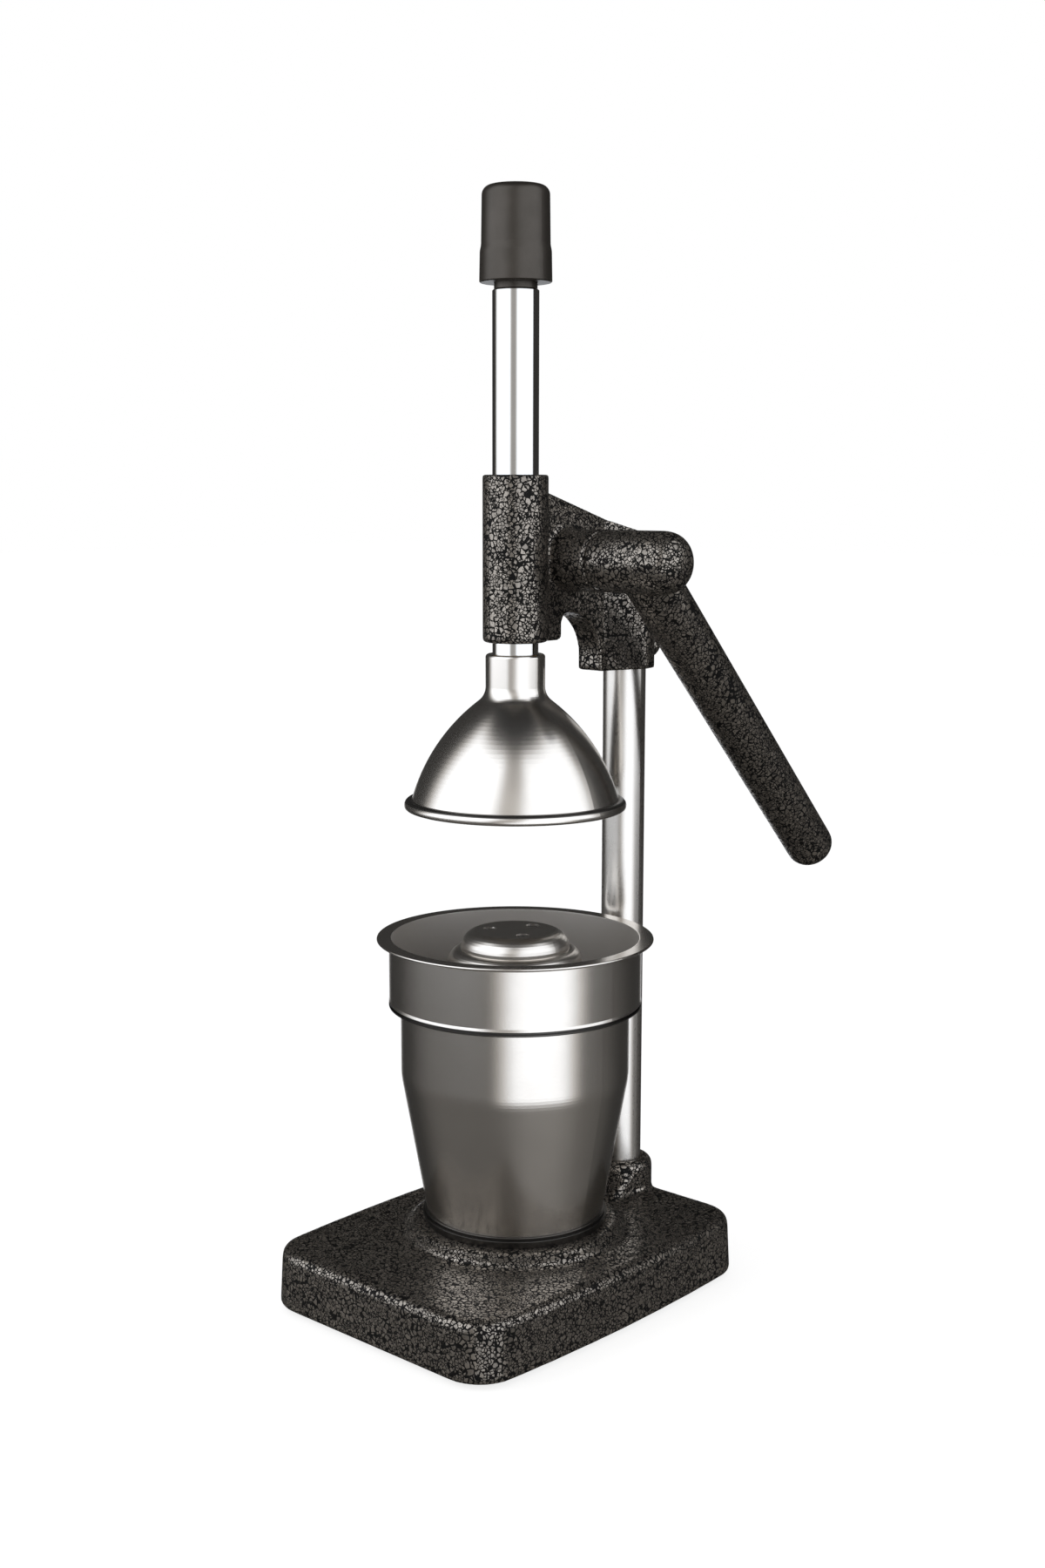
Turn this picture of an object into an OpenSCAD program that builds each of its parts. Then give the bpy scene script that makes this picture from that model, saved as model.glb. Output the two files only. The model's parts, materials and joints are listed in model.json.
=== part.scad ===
// Lever citrus juice press: a cast base and head on a round column, a ram with
// a rack and pinion drive, a pressing bell, and a loose hopper, reamer and cup.
// X is the width, -Y the front, +Z up. The origin is on the floor, under the
// middle of the base.

/* [Base] */
// Width of the base along its lower edge
base_w = 140; // [134:1:160]
// Depth of the base along its lower edge
base_d = 186; // [182:1:200]
// Height from the base's lower edge to its top
base_h = 27.6; // [25:0.2:32]
// Corner radius of the base
base_corner_r = 20; // [17:1:24]
// Rounding of the base's top edge
base_edge_r = 4.5; // [3:0.5:7]
// Inward lean of each side wall over its height
base_lean = 1; // [0.5:0.5:4]
// Wall thickness of the base casting
base_wall = 6; // [4.5:0.5:7]
// Outward bow of the base's long sides at their middle
base_bow = 2.8; // [0:0.2:4]
// Radius of the wide step of the cup pad
pad_r = 52; // [50.5:0.5:55]
// Radius of the flat top of the cup pad
pad_top_r = 48.8; // [46:0.2:50]
// Height of the cup pad above the base top
pad_h = 5.4; // [4:0.2:7]
// Height of the feet below the base's lower edge
foot_proud = 2; // [1:0.2:3]
// Radius of a rubber foot
foot_r = 8; // [6:0.5:9]

/* [Column] */
// Radius of the column
column_r = 10.3; // [9.5:0.1:11]
// Distance from the ram axis back to the column axis
column_gap = 78; // [76:0.5:80]
// Distance from the base's middle back to the ram axis
press_y = 3.5; // [0:0.5:5]
// Radius of the column boss on the base
column_boss_r = 16; // [15:0.5:17.5]
// Height of the column boss above the base top
column_boss_h = 15.4; // [13:0.2:18]

/* [Head] */
// Height of the cross shaft above the floor
shaft_z = 342.4; // [330:0.2:360]
// Distance from the ram axis back to the cross shaft
shaft_gap = 27.5; // [27.3:0.1:28]
// Outer radius of the ram sleeve
sleeve_r = 14.8; // [14.4:0.1:15.5]
// Sleeve length above the cross shaft
sleeve_above = 38.4; // [36:0.2:41]
// Sleeve length below the cross shaft
sleeve_below = 36.4; // [35:0.2:39]
// Thickness of the web
web_t = 14; // [13:0.5:15]
// Fall of the web's top edge toward the back, in degrees
web_fall = 17; // [14:0.2:18]
// Radius of the shaft boss and of the lever's hub
hub_r = 14; // [13:0.2:14.5]
// Distance from the middle plane to the seam between boss and lever
seam_x = 28; // [26:0.5:30]
// Outer radius of the column clamp
clamp_r = 14.3; // [13.8:0.1:15]
// Depth of the column clamp below the cross shaft
clamp_below = 52.9; // [50:0.1:56]

/* [Lever] */
// Angle of the hanging lever below the horizontal, in degrees
lever_drop = 46.4; // [44:0.2:50]
// Swing of the lever, in degrees
lever_swing = 229; // [200:1:229]
// Reach of the lever from the shaft axis to its end
lever_reach = 209; // [180:1:230]
// Radius of the lever next to its hub
lever_root_r = 12.5; // [11.5:0.1:13]
// Radius of the lever near its end
lever_end_r = 11.7; // [10.5:0.1:12.4]
// Distance from the middle plane to the lever's axis
lever_x = 49.5; // [48:0.5:52]
// Distance from the middle plane to the tip of the hub's dome
hub_tip_x = 74.4; // [73:0.2:80]

/* [Drive] */
// Face width of the pinion
gear_w = 8; // [7:0.5:8]
// Radius of the cross shaft
shaft_r = 7; // [6:0.2:7.4]

/* [Ram] */
// Radius of the ram
ram_r = 10.4; // [10.2:0.1:10.8]
// Bare length of the ram between sleeve and cap
ram_bare = 83.2; // [80:0.2:90]
// Height of the end cap
cap_h = 42; // [36:0.5:46]
// Radius of the end cap at its lower edge
cap_r = 16.1; // [15.5:0.1:17]

/* [Bell] */
// Outer radius of the bell's rim bead
bell_r = 50.8; // [50:0.2:52]
// Height of the bell from its rim to the top of its neck
bell_h = 70.8; // [69.5:0.2:73]
// Outer radius of the bell's neck
neck_r = 13.55; // [13.2:0.05:14]
// Wall thickness of the bell
bell_wall = 2.4; // [2:0.2:2.6]
// Visible length of ram between sleeve and neck
neck_drop = 5.2; // [4:0.2:6]

/* [Hopper and cup] */
// Outer radius of the hopper's rim
rim_r = 64; // [62:0.5:68]
// Height of the hopper
hopper_h = 31.9; // [30:0.1:34]
// Outer radius of the hopper's skirt
hopper_r = 58.4; // [57.5:0.1:60]
// Sheet thickness of hopper and cup
sheet_t = 1.2; // [1:0.1:1.4]
// Radius of the reamer dome at its foot
reamer_r = 31; // [29:0.2:32]
// Height of the reamer dome above the hopper floor
reamer_h = 33.5; // [32:0.1:36]
// Outer radius of the cup
cup_r = 53.1; // [52:0.1:55]
// Height of the cup
cup_h = 103.3; // [98:0.1:105]
// Height of the cup's straight upper part
cup_straight_h = 33.3; // [25:0.1:45]
// Radius of the cup's foot ring
cup_foot_r = 43.4; // [42.6:0.1:45]

/* [Hidden] */
$fn = 96;
mm = 1;
overrun = 1 * mm;
fit_gap = 0.03 * mm;
run_gap = 0.05 * mm;
seat_gap = 0.3 * mm;
hull_fn = 28;

// Heights above the floor
base_top = foot_proud + base_h;
pad_top = base_top + pad_h;
boss_top = base_top + column_boss_h;
cup_top = pad_top + cup_h;
sleeve_top = shaft_z + sleeve_above;
sleeve_low = shaft_z - sleeve_below;
clamp_low = shaft_z - clamp_below;
cap_low = sleeve_top + ram_bare;
cap_top = cap_low + cap_h;
neck_top = sleeve_low - neck_drop;
bell_low = neck_top - bell_h;

// Places along Y
shaft_y = press_y + shaft_gap;
column_y = press_y + column_gap;

// Base
pocket_h = base_h - base_wall;
post_r = foot_r + 3.6 * mm;
base_end_lean_share = 0.67;
bow_shares = [-1, -0.7, -0.35, 0, 0.35, 0.7, 1];
foot_depth = 3 * mm;
foot_x = base_w / 2 - base_corner_r;
foot_y = base_d / 2 - base_corner_r;
pad_step_share = 0.48;
pad_edge_r = 1.4 * mm;
boss_edge_r = 4.5 * mm;
gusset_edge_r = 3 * mm;
gusset_half_w = column_boss_r - 1.5 * mm;
gusset_reach = 23 * mm;
gusset_flat = 6 * mm;
base_rib_t = 5 * mm;
base_rib_h = 8 * mm;
column_foot_z = foot_proud + 12 * mm;
bolt_r = 4 * mm;
bolt_head_r = 7.5 * mm;
bolt_head_h = 5.3 * mm;
bolt_len = 22 * mm;
washer_r = 8.4 * mm;
washer_t = 1.6 * mm;
bolt_seat_z = foot_proud + 8 * mm;
bolt_well_r = 10 * mm;
set_r = 3 * mm;
set_z = base_top + 6.5 * mm;
hex_share = 0.5;

// Head
sleeve_bore_r = ram_r + 2 * mm;
bush_r = ram_r + 2 * mm - fit_gap;
bush_h = 18 * mm;
fin_y = press_y + 24 * mm;
fin_edge_r = 2.5 * mm;
arch_r = 21.7 * mm;
arch_z = shaft_z - 45.9 * mm;
web_top_y = press_y + sleeve_r + 1.6 * mm;
web_top_z = sleeve_top - 8.6 * mm;
nose_reach = 26.3 * mm;
nose_y = column_y - nose_reach;
nose_edge_r = 1.5 * mm;
arch_y = nose_y - arch_r;
column_top = shaft_z + 2 * mm;
column_cap_gap = 0.5 * mm;
slit_t = 1.6 * mm;
slit_top = shaft_z - 26 * mm;
lug_y = column_y + 14.7 * mm;
lug_z = shaft_z - 40.7 * mm;
lug_r = 8 * mm;
lug_half_w = 5.2 * mm;
clamp_screw_r = 2 * mm;
clamp_head_r = 2.75 * mm;
clamp_head_h = 2 * mm;
clamp_nut_r = 4 * mm;
clamp_nut_h = 3 * mm;
boss_root_r = 2.2 * mm;

// Drive
gear_module = 1.5 * mm;
gear_teeth = 26;
pitch_r = gear_module * gear_teeth / 2;
gear_r = pitch_r + gear_module;
root_r = pitch_r - 1.25 * gear_module;
rack_y = shaft_gap - pitch_r;
rack_tip_y = rack_y + gear_module;
rack_root_y = rack_y - 1.25 * gear_module;
rack_pitch = PI * gear_module;
pressure_angle = 20;
backlash = 0.14 * mm;
stroke = pitch_r * lever_swing * PI / 180;
pocket_r = gear_r + 0.8 * mm;
pocket_side_x = gear_w / 2 + 0.6 * mm;
cover_x = sleeve_r + 0.2 * mm;
cover_t = 3 * mm;
cover_r = pocket_r + 2.7 * mm;
cover_boss_r = 12 * mm;
cover_boss_h = 3.5 * mm;
ear_r = 4 * mm;
ear_reach = pocket_r + 3.7 * mm;
ear_angles = [30, 110, 215, 315];
cover_screw_r = 1.5 * mm;
cover_head_r = 2.8 * mm;
cover_head_h = 2 * mm;
cover_screw_len = 9 * mm;
bush_wall = 2.4 * mm;
gear_hub_r = 11.5 * mm;
gear_hub_x = 10 * mm;
key_w = 5 * mm;
key_h = 5 * mm;
ring_t = 1 * mm;
ring_r = shaft_r + 2.4 * mm;
ring_groove_r = shaft_r - 1 * mm;
ring_x = cover_x + cover_t + 0.2 * mm;
shaft_tail_x = ring_x + ring_t + 2 * mm;
shaft_nose_x = seam_x + 30 * mm;
lever_edge_r = 8.5 * mm;
hub_dome_h = 13 * mm;
hub_dome_power = 0.8;
hub_dome_steps = 24;
lever_screw_x = seam_x + 5 * mm;

// Ram, cap and bell
ram_edge_r = 0.8 * mm;
ram_collar = 2.6 * mm;
collar_wall = 1.8 * mm;
spigot_r = 7.8 * mm;
spigot_h = 20 * mm;
cap_band_h = 13 * mm;
cap_step = 0.8 * mm;
cap_step_h = 3.6 * mm;
cap_step_shares = [[0.3, 0], [0.42, 0.25], [0.85, 0.72], [1, 1]];
cap_upper_r = cap_r - 1.1 * mm;
cap_edge_r = 4.2 * mm;
cap_crown = 0.5 * mm;
neck_edge_r = 1.5 * mm;
neck_fillet_r = 8 * mm;
rim_h = 4.6 * mm;
rim_lip_r = 1.6 * mm;
rim_shoulder_r = 2.6 * mm;
rim_step = bell_r - 3.5 * mm;
crown_r = neck_r + 3.25 * mm;
crown_z = neck_top - 21.4 * mm;
dome_arc_z = bell_low - 19.5 * mm;
dome_foot_h = bell_low + rim_h - dome_arc_z;
dome_arc_x = (pow(rim_step, 2) - pow(crown_r, 2) + pow(dome_foot_h, 2) - pow(crown_z - dome_arc_z, 2))
    / (2 * (rim_step - crown_r));
dome_arc_r = sqrt(pow(rim_step - dome_arc_x, 2) + pow(dome_foot_h, 2));
ceiling_z = crown_z - 3 * mm;
ram_low = ceiling_z + 7.6 * mm;

// Hopper, reamer and cup
floor_top = cup_top + sheet_t;
hopper_top = cup_top + hopper_h;
bead_swell = 0.2 * mm;
bead_h = 3.4 * mm;
bead_edge_r = 0.35 * mm;
seam_low_h = 0.9 * mm;
seam_gap_h = 0.9 * mm;
seam_depth = 0.8 * mm;
floor_fillet_r = 2.4 * mm;
flare_r = 1.6 * mm;
flare_edge_r = 0.5 * mm;
cup_bend_r = 40 * mm;
drain_r = 2 * mm;
drain_count = 16;
drain_ring_r = 41 * mm;
hopper_hole_r = 25 * mm;
spout_h = 6 * mm;
reamer_wall = 1.5 * mm;
reamer_flange_r = reamer_r + 2.8 * mm;
reamer_lip_h = 2 * mm;
reamer_top = floor_top + reamer_h;
reamer_disc_r = 18.6 * mm;
reamer_waist_r = reamer_r - 5.7 * mm;
reamer_edge_r = 8.5 * mm;
reamer_crown_x = reamer_waist_r - reamer_edge_r;
reamer_waist_z = reamer_top - sqrt(pow(reamer_edge_r, 2) - pow(reamer_disc_r - reamer_crown_x, 2));
reamer_hole_r = 2.75 * mm;
reamer_hole_ring_r = 12 * mm;
reamer_hole_angles = [-30, 90, 210];
cup_step = 1 * mm;
cup_step_edge_r = 0.15 * mm;
cup_undercut = 14;
cup_low_r = cup_foot_r - 2 * cup_step;
cup_foot_h = 3 * mm;
cup_ring_h = 3.6 * mm;
cup_ring_step_h = 1.4 * mm;
reamer_hole_edge = 0.5 * mm;

// Colours of the paint, steel, brass and rubber
paint = [0.16, 0.15, 0.14];
satin = [0.62, 0.60, 0.57];
bright = [0.80, 0.79, 0.77];
cap_metal = [0.24, 0.22, 0.20];
bronze = [0.66, 0.50, 0.28];
dark_steel = [0.30, 0.30, 0.30];
rubber = [0.08, 0.08, 0.08];

// Points of an arc about a centre, from one angle to another
function arc(centre, r, from, to, steps = 10) =
    [for (i = [0 : steps]) centre + r * [cos(from + (to - from) * i / steps), sin(from + (to - from) * i / steps)]];

// Height of the web's top edge at a place along Y
function web_top(y) = web_top_z - (y - web_top_y) * tan(web_fall);

// Involute angle at a radius outside the base circle, in degrees
function involute(r, r_base) = sqrt(pow(r / r_base, 2) - 1) * 180 / PI - acos(r_base / r);

// Runs an outline drawn in the Y-Z plane along X, from one place to another
module along_x(from, to) {
    translate([from, 0, 0]) rotate([90, 0, 90]) linear_extrude(to - from) children();
}

// A round bar along X
module bar_x(r, from, to, y, z) {
    translate([from, y, z]) rotate([0, 90, 0]) cylinder(r = r, h = to - from);
}

// A ring or disc with an upright axis
module ring_z(r_out, r_in, from, to) {
    translate([0, 0, from]) difference() {
        cylinder(r = r_out, h = to - from);
        translate([0, 0, -overrun]) cylinder(r = r_in, h = to - from + 2 * overrun);
    }
}

// A tube along X
module tube_x(r_out, r_in, from, to, y, z) {
    difference() {
        bar_x(r_out, from, to, y, z);
        bar_x(r_in, from - overrun, to + overrun, y, z);
    }
}

// A rectangle with round corners, about the origin
module round_rect(w, d, r) {
    square([w - 2 * r, d], center = true);
    square([w, d - 2 * r], center = true);
    for (x = [-1, 1], y = [-1, 1]) translate([x * (w / 2 - r), y * (d / 2 - r)]) circle(r);
}

// A bolt from below: hexagon head, then a plain shank
module bolt_up(head_low, head_r, head_h, shank_r, shank_len) {
    translate([0, 0, head_low]) cylinder(r = head_r, h = head_h, $fn = 6);
    translate([0, 0, head_low]) cylinder(r = shank_r, h = head_h + shank_len);
}

// A set screw that starts at the origin and runs along +Z, with a hexagon socket
module set_screw(r, len) {
    difference() {
        cylinder(r = r, h = len);
        translate([0, 0, len / 2]) cylinder(r = r * hex_share, h = len, $fn = 6);
    }
}

// Moves to the press axis, the column axis and the shaft axis
module at_press() { translate([0, press_y, 0]) children(); }
module at_column() { translate([0, column_y, 0]) children(); }
module at_shaft() { translate([0, shaft_y, shaft_z]) children(); }

// Outer body of the base: lower edge, leaning walls, round top edge
module base_body() {
    top_x = base_w / 2 - base_lean - base_corner_r;
    top_y = base_d / 2 - base_lean * base_end_lean_share - base_corner_r;
    hull() {
        for (x = [-1, 1], share = bow_shares) {
            bulge = base_bow * (1 - pow(share, 2));
            translate([x * (foot_x + bulge), share * foot_y, foot_proud])
                cylinder(r1 = base_corner_r - 1.2 * mm, r2 = base_corner_r, h = 1.2 * mm, $fn = hull_fn);
            translate([x * (top_x + bulge), share * top_y, base_top - base_edge_r])
                rotate_extrude($fn = hull_fn)
                    translate([base_corner_r - base_edge_r, 0]) circle(base_edge_r, $fn = hull_fn);
        }
    }
}

// Round two-step pad that the cup stands on
module cup_pad() {
    step_z = base_top + pad_h * pad_step_share;
    rotate_extrude() polygon(concat(
        [[0, base_top - overrun], [pad_r, base_top - overrun]],
        arc([pad_r - pad_edge_r, step_z - pad_edge_r], pad_edge_r, 0, 90, 6),
        arc([pad_top_r - pad_edge_r, pad_top - pad_edge_r], pad_edge_r, 0, 90, 6),
        [[0, pad_top]]
    ));
}

// Round boss that holds the column
module column_boss() {
    rotate_extrude() polygon(concat(
        [[0, foot_proud], [column_boss_r, foot_proud]],
        arc([column_boss_r - boss_edge_r, boss_top - boss_edge_r], boss_edge_r, 0, 90),
        [[0, boss_top]]
    ));
}

// Ramp from the boss down to the cup pad
module gusset() {
    high_z = boss_top - 1.5 * mm - gusset_edge_r;
    low_z = base_top - gusset_edge_r;
    hull() {
        for (x = [-1, 1]) translate([x * (gusset_half_w - gusset_edge_r), 0, 0]) {
            translate([0, -gusset_flat + gusset_edge_r, high_z]) sphere(gusset_edge_r, $fn = 24);
            translate([0, -gusset_reach, low_z]) sphere(gusset_edge_r, $fn = 24);
            translate([0, 0, low_z]) sphere(gusset_edge_r, $fn = 24);
            translate([0, 0, high_z]) sphere(gusset_edge_r, $fn = 24);
        }
    }
}

// Hollow below the base: posts round the feet and the column, and a low middle rib
module base_pocket() {
    inner_w = base_w - 2 * (base_wall + base_lean);
    inner_d = base_d - 2 * (base_wall + base_lean);
    translate([0, 0, foot_proud - overrun]) linear_extrude(pocket_h + overrun) difference() {
        round_rect(inner_w, inner_d, base_corner_r - base_wall);
        for (x = [-1, 1], y = [-1, 1]) translate([x * foot_x, y * foot_y]) circle(post_r);
        translate([0, column_y]) circle(column_boss_r);
    }
}

module base_rib() {
    rib_from = -base_d / 2 + base_wall;
    translate([-base_rib_t / 2, rib_from, foot_proud + pocket_h - base_rib_h])
        cube([base_rib_t, column_y - rib_from, base_rib_h + overrun]);
}

module base_casting() {
    color(paint) difference() {
        union() {
            difference() {
                union() {
                    base_body();
                    at_press() cup_pad();
                    at_column() column_boss();
                    at_column() gusset();
                }
                base_pocket();
            }
            base_rib();
        }
        at_column() translate([0, 0, column_foot_z]) cylinder(r = column_r + fit_gap, h = base_h + column_boss_h);
        at_column() cylinder(r = bolt_r + seat_gap, h = column_foot_z + overrun);
        at_column() translate([0, 0, foot_proud - overrun]) cylinder(r = bolt_well_r, h = bolt_seat_z - foot_proud + overrun);
        translate([0, column_y, set_z]) rotate([-90, 0, 0]) cylinder(r = set_r + fit_gap, h = column_boss_r + overrun);
        for (x = [-1, 1], y = [-1, 1]) translate([x * foot_x, y * foot_y, 0])
            cylinder(r = foot_r + fit_gap, h = foot_proud + foot_depth);
    }
}

module rubber_feet() {
    foot_h = foot_proud + foot_depth;
    color(rubber) for (x = [-1, 1], y = [-1, 1]) translate([x * foot_x, y * foot_y, 0])
        rotate_extrude() polygon([[0, 0], [foot_r - foot_proud / 2, 0], [foot_r, foot_proud / 2], [foot_r, foot_h], [0, foot_h]]);
}

module column_bar() {
    color(satin) at_column() difference() {
        translate([0, 0, column_foot_z]) cylinder(r = column_r, h = column_top - column_foot_z);
        cylinder(r = bolt_r + fit_gap, h = bolt_seat_z + bolt_len + 2 * overrun);
    }
}

module column_bolt() {
    head_low = bolt_seat_z - washer_t - bolt_head_h;
    color(dark_steel) at_column() bolt_up(head_low, bolt_head_r, bolt_head_h, bolt_r, washer_t + bolt_len);
}

module column_washer() {
    color(dark_steel) at_column() ring_z(washer_r, bolt_r + seat_gap, bolt_seat_z - washer_t, bolt_seat_z);
}

module column_set_screw() {
    screw_len = column_boss_r - column_r - seat_gap;
    color(dark_steel) translate([0, column_y + column_r, set_z]) rotate([-90, 0, 0]) set_screw(set_r, screw_len);
}

// Round sleeve that guides the ram, with small edge rounding
module sleeve() {
    rotate_extrude() polygon(concat(
        [[0, sleeve_low]],
        arc([sleeve_r - 1.5 * mm, sleeve_low + 1.5 * mm], 1.5 * mm, -90, 0, 4),
        arc([sleeve_r - 1 * mm, sleeve_top - 1 * mm], 1 * mm, 0, 90, 4),
        [[0, sleeve_top]]
    ));
}

// Side outline of the web: fin behind the sleeve, arch, and sloping top edge
module web_outline() {
    fin_top_z = arch_z + sqrt(pow(arch_r, 2) - pow(fin_y - arch_y, 2));
    arch_start = atan2(fin_top_z - arch_z, fin_y - arch_y) - 5;
    polygon(concat(
        [[press_y, web_top(press_y)], [press_y, sleeve_low]],
        arc([fin_y - fin_edge_r, sleeve_low + fin_edge_r], fin_edge_r, -90, 0, 6),
        [[fin_y, fin_top_z - 3 * mm]],
        arc([arch_y, arch_z], arch_r, arch_start, 0, 16),
        arc([nose_y + nose_edge_r, clamp_low + nose_edge_r], nose_edge_r, 180, 270, 5),
        [[column_y, clamp_low], [column_y, web_top(column_y)]]
    ));
}

// Plan of the column clamp: a round boss drawn in toward the width of the web in front
module clamp_plan() {
    side_x = web_t / 2 - 0.2 * mm;
    side_y = nose_reach - 2.5 * mm;
    turn = atan2(side_x, side_y) + acos(clamp_r / sqrt(pow(side_x, 2) + pow(side_y, 2)));
    meet = clamp_r * [sin(turn), -cos(turn)];
    circle(clamp_r);
    polygon([[side_x, -side_y], meet, [-meet[0], meet[1]], [-side_x, -side_y]]);
}

module clamp_body() {
    intersection() {
        at_column() translate([0, 0, clamp_low]) linear_extrude(sleeve_top - clamp_low) clamp_plan();
        along_x(-2 * clamp_r, 2 * clamp_r) polygon([
            [column_y - 2 * nose_reach, clamp_low - overrun], [column_y + 2 * clamp_r, clamp_low - overrun],
            [column_y + 2 * clamp_r, web_top(column_y + 2 * clamp_r)], [column_y - 2 * nose_reach, web_top(column_y - 2 * nose_reach)]
        ]);
    }
}

// Split ears behind the clamp, round about the cross screw
module pinch_lug() {
    bar_x(lug_r, -lug_half_w, lug_half_w, lug_y, lug_z);
    along_x(-lug_half_w, lug_half_w) polygon([
        [column_y, lug_z - lug_r], [lug_y, lug_z - lug_r],
        [lug_y + lug_r, lug_z], [column_y + clamp_r - overrun, lug_z + 2 * lug_r], [column_y, lug_z + 2 * lug_r]
    ]);
}

// Boss of the cross shaft, with a small fillet at the web
module shaft_boss() {
    at_shaft() rotate([0, 90, 0]) rotate_extrude() polygon(concat(
        [[0, 0], [hub_r + boss_root_r, 0]],
        arc([hub_r + boss_root_r, web_t / 2 + boss_root_r], boss_root_r, 270, 180, 6),
        [[hub_r, seam_x - 0.6 * mm], [hub_r - 0.6 * mm, seam_x], [0, seam_x]]
    ));
}

// Places of the cover screws round the shaft axis
module at_ears() {
    for (a = ear_angles) translate([0, shaft_y + ear_reach * cos(a), shaft_z + ear_reach * sin(a)]) children();
}

// Round gear housing on the far side of the web, with ears for the cover screws
module gear_housing(from, to) {
    bar_x(cover_r, from, to, shaft_y, shaft_z);
    at_ears() rotate([0, 90, 0]) translate([0, 0, from]) cylinder(r = ear_r, h = to - from);
}

module head_casting() {
    color(paint) difference() {
        union() {
            at_press() sleeve();
            along_x(-web_t / 2, web_t / 2) web_outline();
            shaft_boss();
            gear_housing(-cover_x, -web_t / 2 + fit_gap);
            clamp_body();
            pinch_lug();
        }
        at_press() translate([0, 0, sleeve_low - overrun]) cylinder(r = sleeve_bore_r, h = sleeve_top - sleeve_low + 2 * overrun);
        bar_x(pocket_r, -cover_x - overrun, pocket_side_x, shaft_y, shaft_z);
        bar_x(shaft_r + run_gap + bush_wall + fit_gap, 0, seam_x + overrun, shaft_y, shaft_z);
        at_column() translate([0, 0, clamp_low - overrun]) cylinder(r = column_r + fit_gap, h = column_top - clamp_low + overrun + column_cap_gap);
        translate([-slit_t / 2, column_y, clamp_low - overrun]) cube([slit_t, 3 * lug_r + clamp_r, slit_top - clamp_low + overrun]);
        bar_x(clamp_screw_r + fit_gap, -2 * lug_half_w, 2 * lug_half_w, lug_y, lug_z);
        bar_x(clamp_head_r + fit_gap, lug_half_w - clamp_head_h - 0.6 * mm, 2 * clamp_r, lug_y, lug_z);
        bar_x(clamp_nut_r + seat_gap, -2 * clamp_r, -lug_half_w, lug_y, lug_z);
        at_ears() rotate([0, 90, 0]) translate([0, 0, -cover_x - overrun]) cylinder(r = cover_screw_r + fit_gap, h = cover_screw_len);
    }
}

module clamp_screw() {
    head_x = lug_half_w - clamp_head_h - 0.6 * mm;
    color(dark_steel) difference() {
        union() {
            bar_x(clamp_screw_r, -lug_half_w - clamp_nut_h, head_x, lug_y, lug_z);
            bar_x(clamp_head_r, head_x, head_x + clamp_head_h, lug_y, lug_z);
        }
        translate([head_x + clamp_head_h / 2, lug_y, lug_z]) rotate([0, 90, 0])
            cylinder(r = clamp_head_r * hex_share, h = clamp_head_h, $fn = 6);
    }
}

module clamp_nut() {
    color(dark_steel) translate([-lug_half_w - clamp_nut_h, lug_y, lug_z]) rotate([0, 90, 0]) difference() {
        cylinder(r = clamp_nut_r, h = clamp_nut_h, $fn = 6);
        translate([0, 0, -overrun]) cylinder(r = clamp_screw_r + fit_gap, h = clamp_nut_h + 2 * overrun);
    }
}

module ram_bushes() {
    color(bronze) at_press() {
        ring_z(bush_r, ram_r + run_gap, sleeve_low + 1 * mm, sleeve_low + 1 * mm + bush_h);
        ring_z(bush_r, ram_r + run_gap, sleeve_top - 1 * mm - bush_h, sleeve_top - 1 * mm);
    }
}

module boss_bush() {
    color(bronze) tube_x(shaft_r + run_gap + bush_wall, shaft_r + run_gap, pocket_side_x, seam_x - 0.2 * mm, shaft_y, shaft_z);
}

module gear_cover() {
    boss_x = -cover_x + cover_boss_h;
    color(paint) difference() {
        union() {
            gear_housing(-cover_x - cover_t, -cover_x);
            bar_x(cover_boss_r, -cover_x - overrun, boss_x, shaft_y, shaft_z);
        }
        bar_x(shaft_r + run_gap + bush_wall + fit_gap, -cover_x - cover_t - overrun, boss_x + overrun, shaft_y, shaft_z);
        at_ears() rotate([0, 90, 0]) translate([0, 0, -cover_x - 2 * cover_t]) cylinder(r = cover_screw_r + seat_gap, h = 4 * cover_t);
    }
}

module cover_bush() {
    color(bronze) tube_x(
        shaft_r + run_gap + bush_wall, shaft_r + run_gap, -cover_x - cover_t, -cover_x + cover_boss_h, shaft_y, shaft_z
    );
}

module cover_screws() {
    face_x = -cover_x - cover_t;
    color(dark_steel) at_ears() rotate([0, 90, 0]) difference() {
        union() {
            translate([0, 0, face_x - cover_head_h]) cylinder(r = cover_head_r, h = cover_head_h);
            translate([0, 0, face_x]) cylinder(r = cover_screw_r, h = cover_screw_len);
        }
        translate([0, 0, face_x - cover_head_h - overrun])
            cylinder(r = cover_head_r * hex_share, h = cover_head_h / 2 + overrun, $fn = 6);
    }
}

module pinion_shaft() {
    color(bright) difference() {
        bar_x(shaft_r, -shaft_tail_x, shaft_nose_x, shaft_y, shaft_z);
        tube_x(shaft_r + overrun, ring_groove_r, -ring_x - ring_t, -ring_x, shaft_y, shaft_z);
        translate([-gear_hub_x, shaft_y - key_w / 2, shaft_z + shaft_r - key_h / 2]) cube([gear_hub_x + gear_w / 2, key_w, key_h]);
        at_shaft() lever_screw_hole();
    }
}

// Moves to the start of the lever's set screw, square to the lever on its upper side
module at_lever_screw() {
    translate([lever_screw_x, 0, 0]) rotate([-lever_drop, 0, 0]) translate([0, 0, shaft_r - 0.6 * mm]) children();
}

module lever_screw_hole() {
    at_lever_screw() cylinder(r = set_r + fit_gap, h = hub_r);
}

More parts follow.
